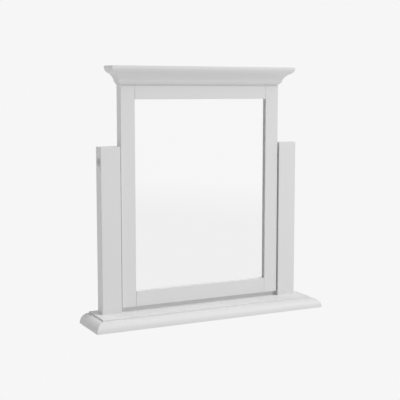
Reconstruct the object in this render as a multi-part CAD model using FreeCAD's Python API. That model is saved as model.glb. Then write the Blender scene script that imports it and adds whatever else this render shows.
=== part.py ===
import FreeCAD, Part
import math
import os

from FreeCAD import Vector

# A swing mirror: two posts on a moulded base board carry a framed glass under a mitred cornice, and
# the frame tilts on one bolt at each side. Lengths are millimetres. X runs from left to right, Y from
# front to back and Z up. The origin is the middle of the footprint, on the surface that it stands on.

# Frame round the glass
opening_width = 337.0
opening_height = 434.0
stile_width = 34.5
bottom_rail_height = 36.0
top_rail_show = 34.0
frame_depth = 23.5
foot_gap = 10.0
side_gap = 2.5
edge_ease = 0.8
joint_line_width = 0.35
joint_line_depth = 2.0
shadow_groove_height = 4.4
shadow_groove_depth = 1.6

# Cornice members, from the bottom up: how far each one steps out and how tall it is
ledge_projection = 3.0
ledge_height = 2.4
bead_projection = 3.6
bead_height = 4.6
bead_rise = 0.8
step_height = 2.2
cove_projection = 11.4
cove_height = 13.8
cove_hollow = 1.4
ovolo_projection = 11.0
ovolo_height = 11.5
ovolo_rise = 2.0
fillet_height = 5.5

# Glass, and the panel that holds it in from behind
glass_thickness = 4.0
glass_rebate = 6.0
glass_clearance = 1.0
panel_thickness = 4.0
panel_rebate = 15.0
panel_clearance = 0.5
panel_recess = 9.2

# Posts
post_width = 46.6
post_depth = 29.5
post_height = 376.0
pivot_drop = 33.5

# Base board: flat shelves round the posts, then the moulded rim on the front and both ends
base_thickness = 25.0
front_shelf = 46.0
end_shelf = 15.9
back_shelf = 17.5
quirk_step = 3.5
quirk_width = 2.0
edge_land = 1.5

# Felt pads
pad_diameter = 24.0
pad_thickness = 2.0
pad_inset = 24.0

# Pivot hardware, one set at each side
bolt_diameter = 6.0
head_diameter = 11.0
head_height = 3.6
head_dome = 2.4
socket_flats = 4.0
socket_depth = 2.2
counterbore_diameter = 13.0
head_washer_diameter = 12.0
head_washer_thickness = 1.4
bush_diameter = 9.0
bush_flange_diameter = 18.0
bush_flange_thickness = 1.0
bush_relief = 1.0
friction_washer_diameter = 16.0
insert_diameter = 10.0
insert_collar_diameter = 13.0
insert_collar_thickness = 1.5
insert_cover = 2.5
bolt_end_gap = 1.0
running_clearance = 0.1
washer_clearance = 0.25
fit_slack = 0.05

# Mushroom-head plugs over the bolts' heads
plug_diameter = 19.5
plug_land = 0.6
plug_dome = 3.4
plug_tenon_length = 6.0
plug_end_gap = 0.8

# Dowels at the corners of the frame
dowel_diameter = 6.0
dowel_length = 30.0
dowel_height_shares = (0.27, 0.73)

# Screws up into the posts
post_screw_diameter = 5.0
post_screw_head_diameter = 10.0
post_screw_length = 60.0
post_screw_tip = 5.0
post_screw_spacing = 22.0
post_screw_sink = 1.0

# Screws round the back panel
panel_screw_diameter = 3.0
panel_screw_head_diameter = 6.0
panel_screw_head_height = 1.8
panel_screw_crown_share = 0.55
panel_screw_length = 12.0
panel_screw_tip = 3.0
panel_screws_per_stile = 3
panel_screws_per_rail = 1

# How far a cutter runs past the face that it cuts
overrun = 1.0

# Heights
board_bottom = pad_thickness
base_top = board_bottom + base_thickness
post_top = base_top + post_height
pivot_z = post_top - pivot_drop
frame_bottom = base_top + foot_gap
opening_bottom = frame_bottom + bottom_rail_height
opening_top = opening_bottom + opening_height
cornice_bottom = opening_top + top_rail_show
lower_members = ledge_height + bead_height + step_height
cornice_height = lower_members + cove_height + ovolo_height + fillet_height
frame_top = cornice_bottom + cornice_height

# Distances from the middle, across the width
opening_half = opening_width / 2
frame_half = opening_half + stile_width
post_inner = frame_half + side_gap
post_outer = post_inner + post_width
flat_half = post_outer + end_shelf
edge_round = base_thickness - quirk_step - edge_land
rim_width = quirk_width + edge_round
base_half = flat_half + rim_width
cornice_projection = ledge_projection + bead_projection + cove_projection + ovolo_projection

# Places from front to back
base_depth = rim_width + front_shelf + post_depth + back_shelf
base_front = -base_depth / 2
flat_front = base_front + rim_width
post_front = flat_front + front_shelf
post_back = post_front + post_depth
base_back = post_back + back_shelf
pivot_y = (post_front + post_back) / 2
frame_front = pivot_y - frame_depth / 2
frame_back = frame_front + frame_depth
panel_back = frame_back - panel_recess
panel_front = panel_back - panel_thickness
glass_front = panel_front - glass_thickness

# Places along the pivot line, on the right-hand side
head_top = post_outer - plug_tenon_length - plug_end_gap
head_seat = head_top - head_height
counterbore_floor = head_seat - head_washer_thickness
insert_bottom = opening_half + panel_rebate + insert_cover

# Directions and angles
along_x = Vector(1, 0, 0)
along_y = Vector(0, 1, 0)
along_z = Vector(0, 0, 1)
middle = Vector(0, 0, 0)
full_turn = 360.0
hexagon_sides = 6


def block(low, high):
    """A box between two opposite corners."""
    size = high - low
    return Part.makeBox(size.x, size.y, size.z, low)


def eased(shape, chosen):
    """The shape with a small round on each of its edges that the test picks."""
    return shape.makeFillet(edge_ease, [edge for edge in shape.Edges if chosen(edge.CenterOfMass)])


def one_solid(shape):
    """The single solid that a cut leaves, with its split faces joined again."""
    return shape.removeSplitter().Solids[0]


def bowed(start, end, rise, outward):
    """An arc from start to end whose middle stands off the chord by rise, towards outward."""
    chord = end - start
    away = outward - chord * (outward.dot(chord) / chord.dot(chord))
    crown = (start + end) * 0.5 + away.normalize() * rise
    return Part.Arc(start, crown, end).toShape()


def face_within(edges):
    """The flat face that a ring of edges closes."""
    return Part.Face(Part.Wire(Part.__sortEdges__(edges)))


def straight_run(points):
    """Straight edges from each point to the next."""
    return [Part.makeLine(start, end) for start, end in zip(points, points[1:])]


def eased_corner(place, out, up, lean):
    """The small round on a square corner of a moulding, from its level face to its upright one.

    lean is 1 where the upright face rises from the corner and -1 where it drops.
    """
    short = edge_ease * (1 - math.sqrt(0.5))
    level_end = place(out - edge_ease, up)
    crown = place(out - short, up + lean * short)
    return Part.Arc(level_end, crown, place(out, up + lean * edge_ease)).toShape()


def turned(outline, start, direction):
    """A turned piece from (along, radius) points, with its axis leaving start in a direction."""
    points = [Vector(radius, 0, along) for along, radius in outline]
    solid = Part.Face(Part.makePolygon(points + points[:1])).revolve(middle, along_z, full_turn)
    solid.Placement = FreeCAD.Placement(start, FreeCAD.Rotation(along_z, direction))
    return solid


def mirrored(shape):
    """The left-hand twin of a right-hand piece."""
    return shape.mirror(middle, along_x)


def spread(low, high, count):
    """Places at equal steps, half a step in from each end."""
    step = (high - low) / count
    return [low + step * (index + 0.5) for index in range(count)]


def on_pivot(x_start, x_end, diameter):
    """A cylinder on the right-hand end of the pivot line."""
    return Part.makeCylinder(diameter / 2, x_end - x_start, Vector(x_start, pivot_y, pivot_z), along_x)


def ring_on_pivot(x_start, x_end, diameter, bore):
    """A cylinder on the pivot line with a hole right through it."""
    return on_pivot(x_start, x_end, diameter).cut(on_pivot(x_start - overrun, x_end + overrun, bore))


# Base board


def rim_edges(place):
    """The moulded rim from the flat top down to the underside: quirk, quarter round and land.

    place turns a distance out from the flat and a height into a point.
    """
    quirk_bottom = base_top - quirk_step
    slant = math.sqrt(0.5)
    quirk_root = place(0, quirk_bottom)
    round_start = place(quirk_width, quirk_bottom)
    round_middle = place(quirk_width + edge_round * slant, quirk_bottom - edge_round * (1 - slant))
    round_end = place(rim_width, board_bottom + edge_land)
    foot = place(rim_width, board_bottom)
    return [
        eased_corner(place, 0, base_top, -1),
        *straight_run([place(0, base_top - edge_ease), quirk_root, round_start]),
        Part.Arc(round_start, round_middle, round_end).toShape(),
        *straight_run([round_end, foot]),
    ]


def base_board():
    """The board where a front moulding and two end mouldings meet, which mitres its corners."""

    def front(out, up):
        return Vector(-base_half, flat_front - out, up)

    def right_end(out, up):
        return Vector(flat_half + out, base_front, up)

    def left_end(out, up):
        return Vector(-flat_half - out, base_front, up)

    back_corners = [Vector(-base_half, base_back, board_bottom), Vector(-base_half, base_back, base_top)]
    around_back = [front(rim_width, board_bottom), *back_corners, front(-edge_ease, base_top)]
    front_section = face_within(rim_edges(front) + straight_run(around_back))
    top_line = straight_run([left_end(-edge_ease, base_top), right_end(-edge_ease, base_top)])
    bottom_line = straight_run([left_end(rim_width, board_bottom), right_end(rim_width, board_bottom)])
    end_section = face_within(rim_edges(right_end) + rim_edges(left_end) + top_line + bottom_line)
    board = front_section.extrude(along_x * (2 * base_half))
    board = board.common(end_section.extrude(along_y * base_depth))
    return one_solid(board.cut(post_screw_solids(fit_slack)))


def felt_pads():
    """Four discs near the corners of the underside."""
    reach_x = base_half - pad_inset
    reach_y = base_depth / 2 - pad_inset
    places = [Vector(x, y, 0) for x in (-reach_x, reach_x) for y in (-reach_y, reach_y)]
    return [Part.makeCylinder(pad_diameter / 2, pad_thickness, place, along_z) for place in places]


# Posts


def post_screw_solids(slack):
    """Countersunk screws driven up through the board, or with slack the holes that they need."""
    head = post_screw_head_diameter / 2 + slack
    shank = post_screw_diameter / 2 + slack
    sink = post_screw_sink if slack == 0 else -overrun
    post_middle = (post_inner + post_outer) / 2
    offsets = (-post_screw_spacing / 2, post_screw_spacing / 2)
    outline = [
        (sink, 0),
        (sink, head),
        (post_screw_sink, head),
        (post_screw_sink + head - shank, shank),
        (post_screw_length - post_screw_tip, shank),
        (post_screw_length + slack, 0),
    ]
    places = [side * post_middle + offset for side in (-1, 1) for offset in offsets]
    return [turned(outline, Vector(x, pivot_y, board_bottom), along_z) for x in places]


def right_post():
    """A square post with eased edges, bored across for the bush and deeper for the bolt's head and plug."""
    post = block(Vector(post_inner, post_front, base_top), Vector(post_outer, post_back, post_top))
    post = eased(post, lambda at: at.z > base_top + edge_ease)
    bore = on_pivot(post_inner - overrun, post_outer, bush_diameter + 2 * fit_slack)
    counterbore = on_pivot(counterbore_floor, post_outer + overrun, counterbore_diameter)
    return one_solid(post.cut([bore, counterbore, *post_screw_solids(fit_slack)]))


# Frame


def dowel_solids(slack):
    """Dowels across the joints of stiles and rails, or with slack the holes that they need.

    They lie in the bands of each rail that the rebates leave at full depth.
    """
    diameter = dowel_diameter + 2 * slack
    length = dowel_length + 2 * slack
    solid_bands = ((frame_bottom, opening_bottom - panel_rebate), (opening_top + panel_rebate, frame_top))
    heights = [low + (high - low) * share for low, high in solid_bands for share in dowel_height_shares]
    starts = [Vector(side * opening_half - length / 2, pivot_y, z) for side in (-1, 1) for z in heights]
    return [Part.makeCylinder(diameter / 2, length, start, along_x) for start in starts]


def panel_screw_places():
    """Where the screws stand on the panel's back, midway across the seat that carries it."""
    seat = (glass_rebate + panel_rebate) / 2
    reach_x = opening_half + seat
    low, high = opening_bottom - seat, opening_top + seat
    up_the_stiles = spread(low, high, panel_screws_per_stile)
    along_the_rails = spread(-reach_x, reach_x, panel_screws_per_rail)
    places = [(x, z) for x in (-reach_x, reach_x) for z in up_the_stiles]
    places += [(x, z) for z in (low, high) for x in along_the_rails]
    return [Vector(x, panel_back, z) for x, z in places]


def panel_screw_solids(slack):
    """Pan-head screws driven forwards through the panel, or with slack the holes that they need."""
    shank = panel_screw_diameter / 2 + slack
    head = panel_screw_head_diameter / 2
    crown = head * panel_screw_crown_share
    shoulder = panel_screw_head_height * panel_screw_crown_share
    outline = [
        (-panel_screw_head_height, 0),
        (-panel_screw_head_height, crown),
        (-shoulder, head),
        (0, head),
        (0, shank),
        (panel_screw_length - panel_screw_tip, shank),
        (panel_screw_length + slack, 0),
    ]
    return [turned(outline, place, -along_y) for place in panel_screw_places()]


def rebate(width, front):
    """The pocket round the opening, cut from the back to a depth that ends at front."""
    low = Vector(-opening_half - width, front, opening_bottom - width)
    high = Vector(opening_half + width, frame_back + overrun, opening_top + width)
    return block(low, high)


def shadow_groove():
    """The shallow groove that is run across the front just under the cornice."""
    low = Vector(-frame_half - overrun, frame_front - overrun, cornice_bottom - shadow_groove_height)
    return block(low, Vector(frame_half + overrun, frame_front + shadow_groove_depth, cornice_bottom))


def frame_member(low, high, extra_cuts=()):
    """A stile or rail: eased below its top end, rebated for glass and panel, grooved and drilled."""
    member = eased(block(low, high), lambda at: at.z < frame_top - edge_ease)
    cuts = [rebate(glass_rebate, glass_front), rebate(panel_rebate, panel_front), shadow_groove()]
    cuts += dowel_solids(fit_slack) + panel_screw_solids(fit_slack)
    return one_solid(member.cut([*cuts, *extra_cuts]))


def right_stile():
    """The upright at the right, with the insert nut's hole in its outer side."""
    hole = on_pivot(insert_bottom, frame_half + overrun, insert_diameter + 2 * fit_slack)
    collar_start = frame_half - insert_collar_thickness
    collar = on_pivot(collar_start, frame_half + overrun, insert_collar_diameter + 2 * fit_slack)
    low = Vector(opening_half, frame_front, frame_bottom)
    return frame_member(low, Vector(frame_half, frame_back, frame_top), (hole, collar))


def rail(bottom, top):
    """A rail between the stiles, cut back at the front of each end to leave a fine line at the joint."""
    line_start = Vector(opening_half - joint_line_width, frame_front - overrun, bottom - overrun)
    line_end = Vector(opening_half + overrun, frame_front + joint_line_depth, top + overrun)
    line = block(line_start, line_end)
    low = Vector(-opening_half, frame_front, bottom)
    return frame_member(low, Vector(opening_half, frame_back, top), (line, mirrored(line)))


def mirror_glass():
    """The glass stands on the bottom of its rebate, with clearance at its other edges."""
    half_width = opening_half + glass_rebate - glass_clearance
    low = Vector(-half_width, glass_front, opening_bottom - glass_rebate)
    return block(low, Vector(half_width, panel_front, opening_top + glass_rebate - glass_clearance))


def back_panel():
    """A thin board behind the glass, seated on the second rebate and drilled for its screws."""
    half_width = opening_half + panel_rebate - panel_clearance
    low = Vector(-half_width, panel_front, opening_bottom - panel_rebate + panel_clearance)
    high = Vector(half_width, panel_back, opening_top + panel_rebate - panel_clearance)
    return one_solid(block(low, high).cut(panel_screw_solids(fit_slack)))


# Cornice


def cornice_section(place, outward):
    """The moulding's face: ledge, bead, step, cove, ovolo and fillet, with a flat back against the frame.

    place turns a distance out from the frame and a height above the cornice's foot into a point.
    """
    bead_out = ledge_projection + bead_projection
    bead_top = ledge_height + bead_height
    cove_out = bead_out + cove_projection
    cove_top = lower_members + cove_height
    foot = place(0, 0)
    bead_start = place(ledge_projection, ledge_height)
    bead_end = place(bead_out, bead_top)
    cove_start = place(bead_out, lower_members)
    ovolo_start = place(cove_out, cove_top)
    fillet_start = place(cornice_projection, cornice_height - fillet_height)
    fillet_end = place(cornice_projection, cornice_height - edge_ease)
    top_edge = place(cornice_projection - edge_ease, cornice_height)
    return face_within([
        *straight_run([foot, place(ledge_projection - edge_ease, 0)]),
        eased_corner(place, ledge_projection, 0, 1),
        *straight_run([place(ledge_projection, edge_ease), bead_start]),
        bowed(bead_start, bead_end, bead_rise, outward),
        *straight_run([bead_end, cove_start]),
        bowed(cove_start, ovolo_start, cove_hollow, -outward),
        bowed(ovolo_start, fillet_start, ovolo_rise, outward),
        *straight_run([fillet_start, fillet_end]),
        eased_corner(place, cornice_projection, cornice_height, -1),
        *straight_run([top_edge, place(0, cornice_height), foot]),
    ])


def cut_to_plan(strip, corners):
    """The strip within a plan outline, which cuts its mitres."""
    points = [Vector(x, y, cornice_bottom) for x, y in corners]
    plan = Part.Face(Part.makePolygon(points + points[:1]))
    return one_solid(strip.common(plan.extrude(along_z * cornice_height)))


def cornice_front():
    """The strip along the front, mitred at both ends."""
    reach = frame_half + cornice_projection
    tip = frame_front - cornice_projection

    def place(out, up):
        return Vector(-reach, frame_front - out, cornice_bottom + up)

    strip = cornice_section(place, -along_y).extrude(along_x * (2 * reach))
    inner = ((frame_half, frame_front), (-frame_half, frame_front))
    return cut_to_plan(strip, (*inner, (-reach, tip), (reach, tip)))


def cornice_right_return():
    """The strip along the right side, mitred at the front and square at the back."""
    reach = frame_half + cornice_projection
    tip = frame_front - cornice_projection

    def place(out, up):
        return Vector(frame_half + out, tip, cornice_bottom + up)

    strip = cornice_section(place, along_x).extrude(along_y * (frame_back - tip))
    front = ((frame_half, frame_front), (reach, tip))
    return cut_to_plan(strip, (*front, (reach, frame_back), (frame_half, frame_back)))


# Pivot hardware, right-hand side


def right_pivot_bolt():
    """A button-head bolt with a hexagon socket, from the counterbore into the insert nut."""
    head = on_pivot(head_seat, head_top, head_diameter)
    outer_rim = [edge for edge in head.Edges if edge.Length > 2 * head_diameter]
    head = head.makeFillet(head_dome, [max(outer_rim, key=lambda edge: edge.CenterOfMass.x)])
    shank = on_pivot(insert_bottom + bolt_end_gap, head_seat + overrun, bolt_diameter)
    corner = socket_flats / (2 * math.cos(math.pi / hexagon_sides))
    angles = [2 * math.pi * index / hexagon_sides for index in range(hexagon_sides)]
    floor = head_top - socket_depth
    points = [
        Vector(floor, pivot_y + corner * math.cos(angle), pivot_z + corner * math.sin(angle))
        for angle in angles
    ]
    hexagon = Part.Face(Part.makePolygon(points + points[:1]))
    return one_solid(head.fuse(shank).cut(hexagon.extrude(along_x * (socket_depth + overrun))))


def right_insert_nut():
    """A collared threaded sleeve, let in flush with the stile's outer side."""
    sleeve = on_pivot(insert_bottom, frame_half, insert_diameter)
    collar = on_pivot(frame_half - insert_collar_thickness, frame_half, insert_collar_diameter)
    bore = on_pivot(insert_bottom - overrun, frame_half + overrun, bolt_diameter + 2 * fit_slack)
    return one_solid(sleeve.fuse(collar).cut(bore))


def right_pivot_bush():
    """A sleeve in the post's cross bore, with a flange against the post's inner side."""
    sleeve = on_pivot(post_inner, counterbore_floor - bush_relief, bush_diameter)
    flange = on_pivot(post_inner - bush_flange_thickness, post_inner, bush_flange_diameter)
    bore = on_pivot(frame_half, counterbore_floor, bolt_diameter + 2 * running_clearance)
    return one_solid(sleeve.fuse(flange).cut(bore))


def right_friction_washer():
    """A rubber ring that fills the gap between the stile and the bush's flange."""
    flange_face = post_inner - bush_flange_thickness
    bore = bolt_diameter + 2 * washer_clearance
    return ring_on_pivot(frame_half, flange_face, friction_washer_diameter, bore)


def right_pivot_plug():
    """A turned plug over the bolt: a domed head on the post's outer side, its tenon in the counterbore."""

    def place(along, radius):
        return Vector(post_outer + along, pivot_y, pivot_z + radius)

    rim = plug_diameter / 2
    tenon = counterbore_diameter / 2 - fit_slack
    ball = (rim ** 2 + plug_dome ** 2) / (2 * plug_dome)
    ball_centre = plug_land + plug_dome - ball
    half_way = math.asin(rim / ball) / 2
    shoulder = place(plug_land, rim)
    crown = place(plug_land + plug_dome, 0)
    dome_middle = place(ball_centre + ball * math.cos(half_way), ball * math.sin(half_way))
    inner_end = place(-plug_tenon_length, 0)
    tenon_edge = place(-plug_tenon_length, tenon)
    section = face_within([
        *straight_run([crown, inner_end, tenon_edge, place(0, tenon), place(0, rim), shoulder]),
        Part.Arc(shoulder, dome_middle, crown).toShape(),
    ])
    return section.revolve(place(0, 0), along_x, full_turn)


def right_head_washer():
    """A steel washer between the bolt's head and the floor of the counterbore."""
    bore = bolt_diameter + 2 * washer_clearance
    return ring_on_pivot(counterbore_floor, head_seat, head_washer_diameter, bore)


def save(name, shape):
    """Writes one named piece, or a group of like pieces, and says what it measures."""
    shape = Part.makeCompound(shape) if isinstance(shape, list) else shape
    shape.exportStep(os.path.join("parts", name + ".step"))
    size = shape.BoundBox
    valid = "valid" if shape.isValid() else "NOT VALID"
    print(f"{name}: {size.XLength:.1f} x {size.YLength:.1f} x {size.ZLength:.1f} mm, "
          f"{len(shape.Solids)} solid(s), {valid}")


single_pieces = {
    "base_board": base_board(),
    "felt_pads": felt_pads(),
    "post_screws": post_screw_solids(0),
    "top_rail": rail(opening_top, frame_top),
    "bottom_rail": rail(frame_bottom, opening_bottom),
    "rail_dowels": dowel_solids(0),
    "cornice_front": cornice_front(),
    "mirror_glass": mirror_glass(),
    "back_panel": back_panel(),
    "back_panel_screws": panel_screw_solids(0),
}

right_hand_pieces = {
    "post": right_post(),
    "stile": right_stile(),
    "pivot_bolt": right_pivot_bolt(),
    "insert_nut": right_insert_nut(),
    "pivot_bush": right_pivot_bush(),
    "friction_washer": right_friction_washer(),
    "head_washer": right_head_washer(),
    "pivot_plug": right_pivot_plug(),
}

os.makedirs("parts", exist_ok=True)
for piece_name, piece in single_pieces.items():
    save(piece_name, piece)
for piece_name, piece in right_hand_pieces.items():
    save("right_" + piece_name, piece)
    save("left_" + piece_name, mirrored(piece))
cornice_return = cornice_right_return()
save("cornice_right_return", cornice_return)
save("cornice_left_return", mirrored(cornice_return))
print(f"overall {2 * base_half:.1f} x {base_depth:.1f} x {frame_top:.1f} mm")
print(f"pivot line at y {pivot_y:.2f}, z {pivot_z:.2f} mm")
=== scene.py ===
# %% [markdown]
# # A swing mirror for a dressing table
# The object is a small painted mirror that stands on a chest or table. Two square posts rise from a
# moulded board, and a framed glass under a cornice tilts between them on one bolt at each side.
# The pieces come in from the engineering model as a fixed frame, in metres, and stay where they are.
# This lesson gives them their finishes, models the felt discs and the screws by hand, and lights the
# whole like a plain studio photograph.

# %% Load the frame
import bmesh
import bpy
import math
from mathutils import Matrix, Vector


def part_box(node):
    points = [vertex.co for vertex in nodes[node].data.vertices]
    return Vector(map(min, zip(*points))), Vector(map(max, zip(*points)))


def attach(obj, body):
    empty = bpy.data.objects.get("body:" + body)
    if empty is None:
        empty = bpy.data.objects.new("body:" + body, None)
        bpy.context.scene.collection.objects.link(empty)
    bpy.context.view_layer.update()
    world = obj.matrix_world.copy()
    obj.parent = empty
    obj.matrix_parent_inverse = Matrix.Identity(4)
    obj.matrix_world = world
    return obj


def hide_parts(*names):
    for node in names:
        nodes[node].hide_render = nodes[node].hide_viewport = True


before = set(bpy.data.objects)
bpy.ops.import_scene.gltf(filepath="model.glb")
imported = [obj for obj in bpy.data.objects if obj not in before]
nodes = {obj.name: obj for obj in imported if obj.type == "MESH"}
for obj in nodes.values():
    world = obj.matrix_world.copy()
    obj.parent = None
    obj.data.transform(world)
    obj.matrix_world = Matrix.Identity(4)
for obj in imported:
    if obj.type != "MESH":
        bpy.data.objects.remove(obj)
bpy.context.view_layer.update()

MILLIMETRE = 0.001


print("pieces in the frame:", len(nodes))

# %% [markdown]
# ## A material and its shader
# Every finish below starts the same way: a new material with one Principled shader, and a Texture
# Coordinate node read in Object space. Object space is measured in metres on the piece itself, so a
# pattern keeps its real size, and it stays put when the mirror tilts.
# A number that is the same all over a surface is typed into the shader's own socket. Only what
# changes over the surface is linked.

# %% Helpers for node trees
def grey(level):
    """A neutral colour of one linear level."""
    return (level, level, level, 1.0)


def set_inputs(node, inputs):
    """Sets a node's input sockets by name, with spaces written as underscores."""
    for name, value in inputs.items():
        node.inputs[name.replace("_", " ")].default_value = value


def add(tree, kind, **inputs):
    """Adds a node to a tree and sets its input sockets."""
    node = tree.nodes.new(kind)
    set_inputs(node, inputs)
    return node


def new_material(name, **inputs):
    """A material with one Principled shader; returns the material, its node tree and the shader."""
    material = bpy.data.materials.new(name)
    material.use_nodes = True
    shader = material.node_tree.nodes["Principled BSDF"]
    set_inputs(shader, inputs)
    return material, material.node_tree, shader


def object_place(tree):
    """The Object coordinates, for the patterns of a material."""
    return tree.nodes.new("ShaderNodeTexCoord").outputs["Object"]


def dress(material, *names):
    """Puts a material in the first slot of each named piece of the frame."""
    for name in names:
        nodes[name].material_slots[0].material = material
    print(material.name, "on", ", ".join(names))


# %% [markdown]
# ## A skin for every finish
# Paint, plate, rubber and bare wood differ in scale and colour, but close up each is the same kind of
# thing: a fine grain that may run one way, a finer pimple all over, and a slow drift from place to
# place. The grain and the drift mix two colours, the drift mixes two roughnesses, and grain and pimple
# together are the height of a bump. It could be typed into a dozen materials. As a node group it is
# built once, and each material places it with its own scale, stretch and colours.
# The group puts out values only. The shader that uses them stays in the material.

# %% The skin group
SKIN_INPUTS = {
    "Place": "NodeSocketVector", "Stretch": "NodeSocketVector",
    "Grain Scale": "NodeSocketFloat", "Pimple Scale": "NodeSocketFloat", "Drift Scale": "NodeSocketFloat",
    "Light": "NodeSocketColor", "Dark": "NodeSocketColor",
    "Smooth": "NodeSocketFloat", "Dull": "NodeSocketFloat",
}
SKIN_OUTPUTS = {"Color": "NodeSocketColor", "Roughness": "NodeSocketFloat", "Height": "NodeSocketFloat"}
GRAIN_NOISE = dict(Detail=3.0, Roughness=0.55)
PIMPLE_NOISE = dict(Detail=1.0)
DRIFT_NOISE = dict(Detail=2.0)
DRIFT_SHARE_OF_TONE = 0.5
PIMPLE_SHARE_OF_RELIEF = 0.4


def build_skin():
    """The group that turns a place into the colour, roughness and height of a finish."""
    group = bpy.data.node_groups.new("finish_skin", "ShaderNodeTree")
    for socket, kind in SKIN_INPUTS.items():
        group.interface.new_socket(socket, in_out="INPUT", socket_type=kind)
    for socket, kind in SKIN_OUTPUTS.items():
        group.interface.new_socket(socket, in_out="OUTPUT", socket_type=kind)
    given = group.nodes.new("NodeGroupInput").outputs
    result = group.nodes.new("NodeGroupOutput").inputs
    along = group.nodes.new("ShaderNodeVectorMath")
    along.operation = "MULTIPLY"
    grain = add(group, "ShaderNodeTexNoise", **GRAIN_NOISE)
    pimple = add(group, "ShaderNodeTexNoise", **PIMPLE_NOISE)
    drift = add(group, "ShaderNodeTexNoise", **DRIFT_NOISE)
    shade = add(group, "ShaderNodeMix", Factor=DRIFT_SHARE_OF_TONE)
    tone = group.nodes.new("ShaderNodeMix")
    tone.data_type = "RGBA"
    sheen = group.nodes.new("ShaderNodeMix")
    relief = add(group, "ShaderNodeMix", Factor=PIMPLE_SHARE_OF_RELIEF)
    link = group.links.new
    link(given["Place"], along.inputs[0])
    link(given["Stretch"], along.inputs[1])
    link(along.outputs["Vector"], grain.inputs["Vector"])
    link(given["Place"], pimple.inputs["Vector"])
    link(given["Place"], drift.inputs["Vector"])
    link(given["Grain Scale"], grain.inputs["Scale"])
    link(given["Pimple Scale"], pimple.inputs["Scale"])
    link(given["Drift Scale"], drift.inputs["Scale"])
    link(grain.outputs["Fac"], shade.inputs["A"])
    link(drift.outputs["Fac"], shade.inputs["B"])
    link(shade.outputs["Result"], tone.inputs["Factor"])
    link(given["Dark"], tone.inputs["A"])
    link(given["Light"], tone.inputs["B"])
    link(drift.outputs["Fac"], sheen.inputs["Factor"])
    link(given["Smooth"], sheen.inputs["A"])
    link(given["Dull"], sheen.inputs["B"])
    link(grain.outputs["Fac"], relief.inputs["A"])
    link(pimple.outputs["Fac"], relief.inputs["B"])
    link(tone.outputs["Result"], result["Color"])
    link(sheen.outputs["Result"], result["Roughness"])
    link(relief.outputs["Result"], result["Height"])
    return group


skin = build_skin()
print("skin group:", len(skin.nodes), "nodes,", len(SKIN_INPUTS), "inputs")

# %% [markdown]
# ## One call for each finish
# With the group in place, one finish differs from the next only in numbers: two colours, two
# roughnesses, how many grains, pimples and drifts go to a metre, how high they stand, and which way
# the grain runs. So one helper makes the material, sets the numbers and draws the links. The height
# of the bump is in metres, as the coordinates are, so it keeps its real depth at every scale.

# %% A material from the skin
EVERY_WAY = (1.0, 1.0, 1.0)
BUMP_STRENGTH = 0.4


def skinned(name, light, dark, roughness, scales, relief, stretch=EVERY_WAY, **inputs):
    """A material whose colour, roughness and bump come from the skin group.

    roughness is its smoothest and dullest value, scales are the grain, pimple and drift per metre,
    and relief is the height of the bump in metres.
    """
    material, tree, shader = new_material(name, **inputs)
    film = tree.nodes.new("ShaderNodeGroup")
    film.node_tree = skin
    smooth, dull = roughness
    grain, pimple, drift = scales
    set_inputs(film, dict(
        Light=light, Dark=dark, Smooth=smooth, Dull=dull,
        Grain_Scale=grain, Pimple_Scale=pimple, Drift_Scale=drift, Stretch=stretch))
    bump = add(tree, "ShaderNodeBump", Strength=BUMP_STRENGTH, Distance=relief)
    link = tree.links.new
    link(object_place(tree), film.inputs["Place"])
    link(film.outputs["Color"], shader.inputs["Base Color"])
    link(film.outputs["Roughness"], shader.inputs["Roughness"])
    link(film.outputs["Height"], bump.inputs["Height"])
    link(bump.outputs["Normal"], shader.inputs["Normal"])
    return material


# %% [markdown]
# ## Painted wood
# Posts, board, frame and cornice are sprayed and rubbed down: a satin, neutral off-white that hides
# the wood's colour, but not quite its grain. One painted material would run the grain the same way
# through every piece. A joiner cuts each piece along the grain, so it runs three ways: up the posts
# and stiles, along the board, rails and cornice, and from front to back on the cornice's returns.
# The stretch shortens one axis of the pattern, which draws the grain out along it.

# %% Painted wood
ALONG_GRAIN = 0.03
GRAIN_UP = (1.0, 1.0, ALONG_GRAIN)
GRAIN_ALONG = (ALONG_GRAIN, 1.0, 1.0)
GRAIN_BACK = (1.0, ALONG_GRAIN, 1.0)
PAINT = dict(
    light=grey(0.860), dark=grey(0.835), roughness=(0.38, 0.50), scales=(420.0, 700.0, 9.0),
    relief=0.04 * MILLIMETRE, Specular_IOR_Level=0.4)

paint_upright = skinned("paint_upright", stretch=GRAIN_UP, **PAINT)
paint_level = skinned("paint_level", stretch=GRAIN_ALONG, **PAINT)
paint_return = skinned("paint_return", stretch=GRAIN_BACK, **PAINT)
dress(paint_upright, "left_post", "right_post", "left_stile", "right_stile")
dress(paint_level, "base_board", "top_rail", "bottom_rail", "cornice_front")
dress(paint_return, "cornice_left_return", "cornice_right_return")

# %% [markdown]
# ## Greyer paint on the plugs, painted shade on the board's ends
# The turned plugs over the pivots have a paint of their own, greyer and duller than the rest. The
# board's moulded ends get painted shade: their paint is darkened. They could have a second material,
# but their round turns from top to end with no edge between, so the darkening has to change as
# gently. The Normal coordinate does that: the more a face looks along X, the darker it gets.

# %% Plug paint and painted shade on the board's ends
# The plugs' own paint: a greyer and duller copy of the paint on the rest.
PLUG_PAINT = dict(PAINT, light=grey(0.735), dark=grey(0.700), roughness=(0.50, 0.62))
# Painted shade: the colour that the paint on the board's ends is multiplied by.
END_PAINTED_SHADE = grey(0.90)


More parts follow.
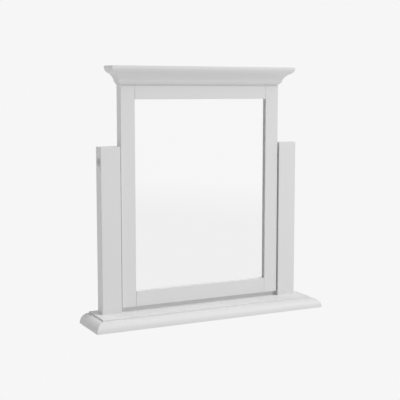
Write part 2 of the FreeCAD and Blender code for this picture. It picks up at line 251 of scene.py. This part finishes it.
def paint_shade_on_ends(material):
    """Darkens a painted material on the faces that look along X: painted shade."""
    tree = material.node_tree
    parts = tree.nodes.new("ShaderNodeSeparateXYZ")
    across = tree.nodes.new("ShaderNodeMath")
    across.operation = "ABSOLUTE"
    shaded = tree.nodes.new("ShaderNodeMix")
    shaded.data_type = "RGBA"
    shaded.blend_type = "MULTIPLY"
    set_inputs(shaded, dict(B=END_PAINTED_SHADE))
    link = tree.links.new
    link(tree.nodes["Texture Coordinate"].outputs["Normal"], parts.inputs["Vector"])
    link(parts.outputs["X"], across.inputs[0])
    link(across.outputs["Value"], shaded.inputs["Factor"])
    link(tree.nodes["Group"].outputs["Color"], shaded.inputs["A"])
    link(shaded.outputs["Result"], tree.nodes["Principled BSDF"].inputs["Base Color"])
    print(material.name, "is shaded at its ends")


paint_plug = skinned("paint_plug", stretch=GRAIN_ALONG, **PLUG_PAINT)
dress(paint_plug, "left_pivot_plug", "right_pivot_plug")
# Paints shade on the board's ends, darker the more a face looks along X.
paint_shade_on_ends(paint_level)

# %% [markdown]
# ## Silvered glass
# A mirror could be glass with a metal sheet behind it. Seen through 4 mm of clear glass that looks
# almost the same as a polished metal face, takes longer to render, and is lost on export. So the
# glass is a metal of high reflectance with a very low roughness. A slow noise keeps it from being
# perfect: the wiped film on real glass, which dulls it here and there by a hair.

# %% Mirror
WIPED_FILM = dict(Scale=14.0, Detail=3.0)
SILVER_LOW = grey(0.937)
SILVER_HIGH = grey(0.943)
HAZE = dict(To_Min=0.004, To_Max=0.016)

mirror, mirror_tree, mirror_shader = new_material("silvered_glass", Metallic=1.0)
wiped = add(mirror_tree, "ShaderNodeTexNoise", **WIPED_FILM)
silver = mirror_tree.nodes.new("ShaderNodeMix")
silver.data_type = "RGBA"
set_inputs(silver, dict(A=SILVER_LOW, B=SILVER_HIGH))
haze = add(mirror_tree, "ShaderNodeMapRange", **HAZE)
link = mirror_tree.links.new
link(object_place(mirror_tree), wiped.inputs["Vector"])
link(wiped.outputs["Fac"], silver.inputs["Factor"])
link(wiped.outputs["Fac"], haze.inputs["Value"])
link(silver.outputs["Result"], mirror_shader.inputs["Base Color"])
link(haze.outputs["Result"], mirror_shader.inputs["Roughness"])
dress(mirror, "mirror_glass")

# %% [markdown]
# ## Back board
# Behind the glass is a sheet of hardboard, rough side out. Its pulp is pressed on a wire screen, which
# leaves a fine grid of dimples, over brown fibres that clump a little. Modelled, the grid would be
# many thousands of dents. Here it is two Wave textures at right angles, multiplied. The fibres are the
# skin group again. The grid is a second bump on top of theirs, because it has a depth of its own.
# A Wave texture of scale 1 has a crest every twentieth of two pi, here in metres.

# %% Hardboard
HARDBOARD = dict(
    light=(0.400, 0.250, 0.135, 1.0), dark=(0.210, 0.118, 0.058, 1.0), roughness=(0.72, 0.92),
    scales=(260.0, 900.0, 16.0), relief=0.3 * MILLIMETRE, stretch=(1.0, 1.0, 0.45),
    Specular_IOR_Level=0.25)
SCREEN_PITCH = 1.6 * MILLIMETRE
WAVE_PITCH = 2 * math.pi / 20
SCREEN_WAVE = dict(Scale=WAVE_PITCH / SCREEN_PITCH, Distortion=0.6)
SCREEN_BUMP = dict(Strength=0.6, Distance=0.3 * MILLIMETRE)

hardboard = skinned("hardboard", **HARDBOARD)
board_tree = hardboard.node_tree
board_place = object_place(board_tree)
fibres = board_tree.nodes["Bump"]
dimples = add(board_tree, "ShaderNodeBump", **SCREEN_BUMP)
grid = board_tree.nodes.new("ShaderNodeMath")
grid.operation = "MULTIPLY"
link = board_tree.links.new
for socket, direction in zip(grid.inputs, ("X", "Z")):
    wire = add(board_tree, "ShaderNodeTexWave", **SCREEN_WAVE)
    wire.bands_direction = direction
    link(board_place, wire.inputs["Vector"])
    link(wire.outputs["Fac"], socket)
link(grid.outputs["Value"], dimples.inputs["Height"])
link(fibres.outputs["Normal"], dimples.inputs["Normal"])
link(dimples.outputs["Normal"], board_tree.nodes["Principled BSDF"].inputs["Normal"])
dress(hardboard, "back_panel")
print("screen grid:", round(1 / SCREEN_PITCH), "dimples per metre")

# %% [markdown]
# ## Metals
# The bolts and washers are dark plated steel, the wood screws bright zinc, and the insert nuts brass.
# Lathe rings could be modelled on them, but at this size only their glint shows. So they are the skin
# group on a metal, with a fine grain from turning and a slow drift in the plate. The bolts show only
# through the narrow gap beside the frame, where a dark grey keeps them quiet, as on the real thing.

# %% Metals
TURNED = dict(scales=(1500.0, 2500.0, 70.0), relief=0.01 * MILLIMETRE, Metallic=1.0)

dark_plate = skinned("dark_plate", light=grey(0.145), dark=grey(0.095), roughness=(0.34, 0.48), **TURNED)
bright_zinc = skinned(
    "bright_zinc", light=(0.640, 0.640, 0.610, 1.0), dark=(0.500, 0.500, 0.485, 1.0),
    roughness=(0.26, 0.42), **TURNED)
turned_brass = skinned(
    "turned_brass", light=(0.720, 0.530, 0.250, 1.0), dark=(0.570, 0.400, 0.180, 1.0),
    roughness=(0.25, 0.40), **TURNED)
dress(dark_plate, "left_pivot_bolt", "right_pivot_bolt", "left_head_washer", "right_head_washer")
dress(turned_brass, "left_insert_nut", "right_insert_nut")

# %% [markdown]
# ## Nylon and rubber
# The bolts turn in grey nylon bushes, and a grey rubber ring beside each bush holds the tilt by its
# friction. Both could be one flat grey, but a mould leaves a pimpled skin, and rubber is darker and
# duller than nylon. The skin group gives both from one set of scales.

# %% Nylon and rubber
MOULDED = dict(scales=(900.0, 2200.0, 60.0), relief=0.02 * MILLIMETRE)

grey_nylon = skinned("grey_nylon", light=grey(0.105), dark=grey(0.085), roughness=(0.50, 0.62), **MOULDED)
grey_rubber = skinned("grey_rubber", light=grey(0.048), dark=grey(0.036), roughness=(0.75, 0.90), **MOULDED)
dress(grey_nylon, "left_pivot_bush", "right_pivot_bush")
dress(grey_rubber, "left_friction_washer", "right_friction_washer")

# %% [markdown]
# ## Dowels
# Two beech dowels hold each corner of the frame. They sit in their bores, out of sight, and show only
# when the frame is taken apart. A plain brown would do until then. With the skin, and its grain along
# the dowel, they are right on that day too.

# %% Dowels
BEECH = dict(
    light=(0.560, 0.370, 0.200, 1.0), dark=(0.440, 0.270, 0.135, 1.0), roughness=(0.55, 0.70),
    scales=(600.0, 1400.0, 30.0), relief=0.03 * MILLIMETRE)

bare_beech = skinned("bare_beech", stretch=GRAIN_ALONG, **BEECH)
dress(bare_beech, "rail_dowels")

# %% [markdown]
# ## Modelling by hand
# The felt discs and the screws are modelled here. Each starts from a primitive and is shaped in edit
# mode. An operator works on all that is selected, so everything is deselected first, and faces are
# then picked by the way they face. The finished piece is copied to its places, with the place applied
# to each copy's mesh, hung on the body that carries it, and the solid it stands for is hidden.

# %% Helpers for modelling
STRAIGHT = 0.99
MERGE_WITHIN = 0.001 * MILLIMETRE


def choose(piece):
    """Selects one object alone and makes it the active one."""
    bpy.ops.object.select_all(action="DESELECT")
    piece.select_set(True)
    bpy.context.view_layer.objects.active = piece


def start_editing():
    """Opens the primitive that was just added in edit mode, and returns it."""
    piece = bpy.context.object
    bpy.ops.object.transform_apply(location=True, rotation=True, scale=True)
    bpy.ops.object.mode_set(mode="EDIT")
    return piece


def pick_faces(piece, test):
    """In edit mode, selects only the faces whose normal passes the test."""
    bpy.ops.mesh.select_all(action="DESELECT")
    mesh = bmesh.from_edit_mesh(piece.data)
    for face in mesh.faces:
        face.select_set(test(face.normal))
    bmesh.update_edit_mesh(piece.data)


def finish_editing(piece, name, material, sharp_degrees):
    """Merges doubles, turns faces outwards, smooths the shading and names the piece."""
    bpy.ops.mesh.select_all(action="SELECT")
    bpy.ops.mesh.remove_doubles(threshold=MERGE_WITHIN)
    bpy.ops.mesh.normals_make_consistent(inside=False)
    bpy.ops.object.mode_set(mode="OBJECT")
    bpy.ops.object.shade_smooth_by_angle(angle=math.radians(sharp_degrees))
    piece.name = name
    piece.data.materials.append(material)


def set_copies(piece, places, turn, body, node):
    """Puts a copy at each place, on a body, in the stead of a solid, and removes the pattern."""
    name = piece.name
    piece.name = name + "_pattern"
    for index, place in enumerate(places, 1):
        choose(piece)
        bpy.ops.object.duplicate()
        copy = bpy.context.object
        copy.name = f"{name}_{index}"
        copy.rotation_euler = turn
        copy.location = place
        bpy.ops.object.transform_apply(location=True, rotation=True, scale=True)
        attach(copy, body)
        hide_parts(node)
    faces = len(piece.data.polygons)
    bpy.data.objects.remove(piece)
    print(name, "with", faces, "faces at", len(places), "places")


# %% [markdown]
# ## Felt discs
# Four discs under the board keep it off the polish. They are punched from sheet felt, so the edge is
# cut square, and the weight of the mirror and the punch round it over a little. A plain cylinder would
# pass for a rubber foot. Here it is only the blank: a bevel over all its edges rounds both rims and
# evens out the wall. Both ends are then inset twice. The outer ring stays level, and inside the second
# one the felt is pressed in by a tenth of a millimetre, as it is round a glued middle.

# %% Felt
FELT = dict(
    light=grey(0.200), dark=grey(0.050), roughness=(0.92, 1.0), scales=(1100.0, 2600.0, 160.0),
    relief=0.5 * MILLIMETRE, stretch=(1.0, 0.35, 1.0),
    Specular_IOR_Level=0.1, Sheen_Weight=0.3, Sheen_Roughness=0.6)
DISC_RADIUS = 12 * MILLIMETRE
DISC_ROUND = 0.35 * MILLIMETRE
LEVEL_RING = 1.5 * MILLIMETRE
SLOPING_RING = 3.0 * MILLIMETRE
PRESSED_IN = 0.1 * MILLIMETRE
UNTURNED = (0.0, 0.0, 0.0)
low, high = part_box("felt_pads")
thickness = high.z - low.z

felt = skinned("grey_felt", **FELT)
bpy.ops.object.select_all(action="DESELECT")
bpy.ops.mesh.primitive_cylinder_add(vertices=64, radius=DISC_RADIUS, depth=thickness)
disc = start_editing()
bpy.ops.mesh.bevel(offset=DISC_ROUND, segments=3, affect="EDGES", clamp_overlap=True)
pick_faces(disc, lambda normal: abs(normal.z) > STRAIGHT)
bpy.ops.mesh.inset(thickness=LEVEL_RING)
bpy.ops.mesh.inset(thickness=SLOPING_RING, depth=-PRESSED_IN)
finish_editing(disc, "felt_disc", felt, sharp_degrees=50)
reach = Vector((high.x - DISC_RADIUS, high.y - DISC_RADIUS, 0.0))
corners = [(x * reach.x, y * reach.y, thickness / 2) for x in (-1, 1) for y in (-1, 1)]
set_copies(disc, corners, UNTURNED, "stand", "felt_pads")

# %% [markdown]
# ## A cross for the driver
# Eight small pan-head screws hold the back board, and two countersunk ones hold each post from below.
# In the engineering model they are plain turned solids. What an eye looks for on a screw is the cross
# that the driver goes in. It could be painted on, but it catches light as a hollow, so it is cut: a
# small block is grown into a cross by extruding its four sides, its floor is drawn in as on a driver's
# tip, and a Boolean modifier takes it out of the head.

# %% The cross
CROSS_FLOOR_SHARE = 0.7


def cut_cross(piece, arm, width, floor, top):
    """Cuts a cross into the piece that is being edited, from its top down to a floor."""
    height = top - floor + 2 * width
    bpy.ops.object.mode_set(mode="OBJECT")
    bpy.ops.object.select_all(action="DESELECT")
    bpy.ops.mesh.primitive_cube_add(size=1.0, location=(0.0, 0.0, floor + height / 2))
    bpy.context.object.scale = (width, width, height)
    cross = start_editing()
    pick_faces(cross, lambda normal: abs(normal.z) < 1 - STRAIGHT)
    bpy.ops.mesh.extrude_faces_move(TRANSFORM_OT_shrink_fatten={"value": arm - width / 2})
    pick_faces(cross, lambda normal: normal.z < -STRAIGHT)
    bpy.ops.transform.resize(
        value=(CROSS_FLOOR_SHARE, CROSS_FLOOR_SHARE, 1.0), center_override=(0.0, 0.0, 0.0))
    bpy.ops.object.mode_set(mode="OBJECT")
    choose(piece)
    recess = piece.modifiers.new("recess", "BOOLEAN")
    recess.operation = "DIFFERENCE"
    recess.solver = "EXACT"
    recess.object = cross
    bpy.ops.object.modifier_apply(modifier=recess.name)
    bpy.data.objects.remove(cross)
    bpy.ops.object.mode_set(mode="EDIT")


# %% [markdown]
# ## Pan-head screws
# A pan head is a low wall under a dome that flattens toward its middle. A squashed sphere would have
# no wall, and a bevelled cylinder no dome. So the wall is a cylinder, and its top is extruded four
# times, each time less high and less wide. Below, the head's underside is inset to the shank, which is
# extruded to its length and drawn in to a point.

# %% Pan-head screws
PAN_RADIUS = 3.0 * MILLIMETRE
PAN_HEIGHT = 1.8 * MILLIMETRE
PAN_SHANK_RADIUS = 1.5 * MILLIMETRE
PAN_TIP = 3.0 * MILLIMETRE
PAN_WALL_SHARE = 0.4
PAN_DOME_SHARES = ((0.28, 0.93), (0.18, 0.84), (0.10, 0.68), (0.04, 0.40))
PAN_CROSS = dict(arm=1.7 * MILLIMETRE, width=0.65 * MILLIMETRE)
POINT_SHARE = 0.05
SCREW_SHARP_DEGREES = 32
SCREWS_UP_A_STILE = 3
HEAD_TO_THE_BACK = (math.radians(-90), 0.0, 0.0)


def grow(rise, width_share):
    """Extrudes the picked face by a rise along Z and scales its new end about the Z axis."""
    bpy.ops.mesh.extrude_region_move(TRANSFORM_OT_translate={"value": (0.0, 0.0, rise)})
    bpy.ops.transform.resize(value=(width_share, width_share, 1.0), center_override=(0.0, 0.0, 0.0))


low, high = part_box("back_panel_screws")
pan_length = high.y - low.y - PAN_HEIGHT
pan_wall = PAN_WALL_SHARE * PAN_HEIGHT

bpy.ops.object.select_all(action="DESELECT")
bpy.ops.mesh.primitive_cylinder_add(
    vertices=40, radius=PAN_RADIUS, depth=pan_wall, location=(0.0, 0.0, pan_wall / 2))
pan = start_editing()
pick_faces(pan, lambda normal: normal.z > STRAIGHT)
for rise_share, width_share in PAN_DOME_SHARES:
    grow(rise_share * PAN_HEIGHT, width_share)
pick_faces(pan, lambda normal: normal.z < -STRAIGHT)
bpy.ops.mesh.inset(thickness=PAN_RADIUS - PAN_SHANK_RADIUS)
grow(PAN_TIP - pan_length, 1.0)
grow(-PAN_TIP, POINT_SHARE)
cut_cross(pan, floor=pan_wall, top=PAN_HEIGHT, **PAN_CROSS)
finish_editing(pan, "panel_screw", bright_zinc, SCREW_SHARP_DEGREES)

reach_x = high.x - PAN_RADIUS
bottom, top = low.z + PAN_RADIUS, high.z - PAN_RADIUS
seat = high.y - PAN_HEIGHT
step = (top - bottom) / SCREWS_UP_A_STILE
heights = [bottom + step * (index + 0.5) for index in range(SCREWS_UP_A_STILE)]
places = [(x, seat, z) for x in (-reach_x, reach_x) for z in heights]
places += [(0.0, seat, z) for z in (bottom, top)]
set_copies(pan, places, HEAD_TO_THE_BACK, "mirror_frame", "back_panel_screws")

# %% [markdown]
# ## Countersunk screws
# These draw the posts down from under the board, so their heads lie flush in it. The head is a cone
# at 45 degrees. It could be turned from a spun outline, but a cone primitive with its point cut off
# gives it in one step. Its flat is inset, and the middle sunk by less than a tenth of a millimetre, so
# that the edge catches a thin ring of light. The shank grows from the narrow end, as on the others.

# %% Countersunk screws
SUNK_RADIUS = 5.0 * MILLIMETRE
SUNK_SHANK_RADIUS = 2.5 * MILLIMETRE
SUNK_TIP = 5.0 * MILLIMETRE
SUNK_SPACING = 22.0 * MILLIMETRE
SUNK_EDGE = 0.4 * MILLIMETRE
SUNK_DISH = 0.08 * MILLIMETRE
SUNK_CROSS = dict(arm=2.9 * MILLIMETRE, width=1.1 * MILLIMETRE, floor=-1.6 * MILLIMETRE, top=0.0)
HEAD_DOWN = (math.radians(180), 0.0, 0.0)
low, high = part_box("post_screws")
cone = SUNK_RADIUS - SUNK_SHANK_RADIUS

bpy.ops.object.select_all(action="DESELECT")
bpy.ops.mesh.primitive_cone_add(
    vertices=48, radius1=SUNK_SHANK_RADIUS, radius2=SUNK_RADIUS, depth=cone, location=(0.0, 0.0, -cone / 2))
sunk = start_editing()
pick_faces(sunk, lambda normal: normal.z > STRAIGHT)
bpy.ops.mesh.inset(thickness=SUNK_EDGE)
bpy.ops.transform.translate(value=(0.0, 0.0, -SUNK_DISH))
pick_faces(sunk, lambda normal: normal.z < -STRAIGHT)
grow(cone + SUNK_TIP - (high.z - low.z), 1.0)
grow(-SUNK_TIP, POINT_SHARE)
cut_cross(sunk, **SUNK_CROSS)
finish_editing(sunk, "post_screw", bright_zinc, SCREW_SHARP_DEGREES)

outer = high.x - SUNK_RADIUS
middle_y = (low.y + high.y) / 2
places = [(side * x, middle_y, low.z) for side in (-1, 1) for x in (outer - SUNK_SPACING, outer)]
set_copies(sunk, places, HEAD_DOWN, "stand", "post_screws")

# %% [markdown]
# ## Levels for each kind of ray
# The photograph has a paper sweep that is pale all over, with no horizon and hardly a shadow.
# A plain white floor under lamps would show both. Here paper and air shine by themselves at the level
# that the camera should see, and the Light Path node gives them other levels for other rays: one for
# what the glass sees, and one for what falls on the wood. Where such a level isn't the same all over,
# it climbs along a heading, as light does in a room with a window.

# %% Helpers for levels
def climb(tree, place, heading, metres, levels):
    """The socket of a level that climbs between two distances along a heading."""
    along = tree.nodes.new("ShaderNodeVectorMath")
    along.operation = "DOT_PRODUCT"
    along.inputs[1].default_value = heading
    ramp = add(
        tree, "ShaderNodeMapRange",
        From_Min=metres[0], From_Max=metres[1], To_Min=levels[0], To_Max=levels[1])
    tree.links.new(place, along.inputs[0])
    tree.links.new(along.outputs["Value"], ramp.inputs["Value"])
    return ramp.outputs["Result"]


def feed(tree, socket, level):
    """Sets a socket to a number, or links it to another socket."""
    if isinstance(level, float):
        socket.default_value = level
    else:
        tree.links.new(level, socket)


def by_ray(tree, seen, in_glass, on_wood):
    """The socket of a level that differs for rays from the camera, from the glass and from the wood."""
    ray = tree.nodes.new("ShaderNodeLightPath").outputs
    glass = tree.nodes.new("ShaderNodeMix")
    once = tree.nodes.new("ShaderNodeMath")
    once.operation = "MINIMUM"
    wood = tree.nodes.new("ShaderNodeMix")
    feed(tree, glass.inputs["Factor"], ray["Is Glossy Ray"])
    feed(tree, glass.inputs["A"], seen)
    feed(tree, glass.inputs["B"], in_glass)
    feed(tree, once.inputs[0], ray["Diffuse Depth"])
    feed(tree, once.inputs[1], 1.0)
    feed(tree, wood.inputs["Factor"], once.outputs["Value"])
    feed(tree, wood.inputs["A"], glass.outputs["Result"])
    feed(tree, wood.inputs["B"], on_wood)
    return wood.outputs["Result"]


# %% [markdown]
# ## The floor
# The paper is one large plane. White paper under lamps would give its level, its shadow and the light
# that it throws up all at once, and none could be set by itself. Here the light that it throws up on
# the wood climbs slowly from left to right, and so does what the glass sees, which looks out over the
# paper far to the right. Light sampling is off: it would take the camera's level where the wood's is
# meant.

# %% Floor
FLOOR_REACH = 40.0
PAPER_SEEN = 0.922
BOUNCE = dict(heading=(1.0, 0.0, 0.0), metres=(-2.0, 2.0), levels=(0.496, 0.912))
IN_GLASS = dict(heading=(0.88, -0.47, 0.0), metres=(1.30, 2.60), levels=(0.922, 0.985))

bpy.ops.object.select_all(action="DESELECT")
bpy.ops.mesh.primitive_plane_add(size=2 * FLOOR_REACH)
floor = bpy.context.object
floor.name = "studio_floor"
paper, paper_tree, paper_shader = new_material(
    "floor_paper", Base_Color=grey(0.0), Roughness=1.0, Specular_IOR_Level=0.0, Emission_Strength=1.0)
paper.cycles.emission_sampling = "NONE"
spot = object_place(paper_tree)
in_glass = climb(paper_tree, spot, **IN_GLASS)
bounce = climb(paper_tree, spot, **BOUNCE)
paper_level = by_ray(paper_tree, PAPER_SEEN, in_glass, bounce)
feed(paper_tree, paper_shader.inputs["Emission Color"], paper_level)
floor.data.materials.append(paper)
print("floor paper:", PAPER_SEEN, "to the camera,", BOUNCE["levels"], "to the wood")

# %% [markdown]
# ## The air
# Round the paper stands a bright room, which the camera sees at the same pale level, with no seam.
# What it gives the wood is a broad glow from the right, the front and above. An image of a room could
# do it, but a climb along one heading, multiplied by itself so that it starts gently, is all that the
# soft shading of the posts needs. Light sampling is off here too.

# %% Air
AIR_SEEN = 0.922
AIR_IN_GLASS = 0.985
GLOW = 0.976
GLOW_HEADING = (0.75, -0.50, 0.43)

world = bpy.data.worlds.new("studio_air")
bpy.context.scene.world = world
world.use_nodes = True
world.cycles.sampling_method = "NONE"
air = world.node_tree
way = air.nodes.new("ShaderNodeTexCoord").outputs["Generated"]
root = climb(air, way, GLOW_HEADING, (0.0, 1.0), (0.0, math.sqrt(GLOW)))
glow = air.nodes.new("ShaderNodeMath")
glow.operation = "MULTIPLY"
feed(air, glow.inputs[0], root)
feed(air, glow.inputs[1], root)
air_level = by_ray(air, AIR_SEEN, AIR_IN_GLASS, glow.outputs["Value"])
feed(air, air.nodes["Background"].inputs["Color"], air_level)
print("air:", AIR_SEEN, "to the camera, up to", GLOW, "to the wood")

# %% [markdown]
# ## The lamps
# The photograph's light is wide and soft. The post at the left throws a short shadow on the board, to
# the left and a little back, and the frame throws one just behind its own front edge. Both come from
# the right: a large key panel lights the fronts, and a small one nearly overhead lights the tops and
# gives the shadows their edge. A third at the back left keeps the shaded sides open. Each stands on a
# ray from the middle of the mirror, given by its heading from the front and its height in degrees.
# Multiple importance is off, so that no panel shows as a bright patch in the glass.

# %% Lamps
MIRROR_MIDDLE = Vector((0.0, 0.0, 0.3))
LAMP_DISTANCE = 5.5
LAMPS = {
    "key_panel": dict(heading=45, height=40, size=3.0, watts=122.7),
    "top_panel": dict(heading=60, height=70, size=1.5, watts=42.8),
    "back_left_panel": dict(heading=225, height=30, size=3.0, watts=105.6),
}


def hang_lamp(name, heading, height, size, watts):
    """A square panel that faces the middle of the mirror from a heading and a height in degrees."""
    lamp = bpy.data.lights.new(name, "AREA")
    lamp.shape = "SQUARE"
    lamp.size = size
    lamp.energy = watts
    lamp.cycles.use_multiple_importance_sampling = False
    turn, rise = math.radians(heading), math.radians(height)
    ray = Vector((math.sin(turn) * math.cos(rise), -math.cos(turn) * math.cos(rise), math.sin(rise)))
    holder = bpy.data.objects.new(name, lamp)
    holder.location = MIRROR_MIDDLE + ray * LAMP_DISTANCE
    holder.rotation_euler = ray.to_track_quat("Z", "Y").to_euler()
    bpy.context.scene.collection.objects.link(holder)
    print(name, "at", [round(number, 2) for number in holder.location], "with", watts, "W")


for name, panel in LAMPS.items():
    hang_lamp(name, **panel)

# %% [markdown]
# ## The camera
# The photograph is taken from the left, from just under the height of the mirror's top, and looks
# down a little, with a longish lens. The camera could be set by eye. Here its place, heading and dip
# come from fitting the known box of the object to its edges in the picture.
# The Standard view transform shows each level as it is, which suits a picture that is nearly white.

# %% Camera
CAMERA_PLACE = (-0.96057, -1.89315, 0.52780)
CAMERA_HEADING = 26.58
CAMERA_DIP = 6.81
CAMERA_LENS = 82.92
CAMERA_SENSOR = 36.0

lens = bpy.data.cameras.new("photo_camera")
lens.lens = CAMERA_LENS
lens.sensor_width = CAMERA_SENSOR
camera = bpy.data.objects.new("photo_camera", lens)
camera.location = CAMERA_PLACE
camera.rotation_euler = (math.radians(90 - CAMERA_DIP), 0.0, math.radians(-CAMERA_HEADING))
bpy.context.scene.collection.objects.link(camera)
bpy.context.scene.camera = camera
bpy.context.scene.view_settings.view_transform = "Standard"
print("camera", round((camera.location - MIRROR_MIDDLE).length, 2), "m from the mirror's middle")
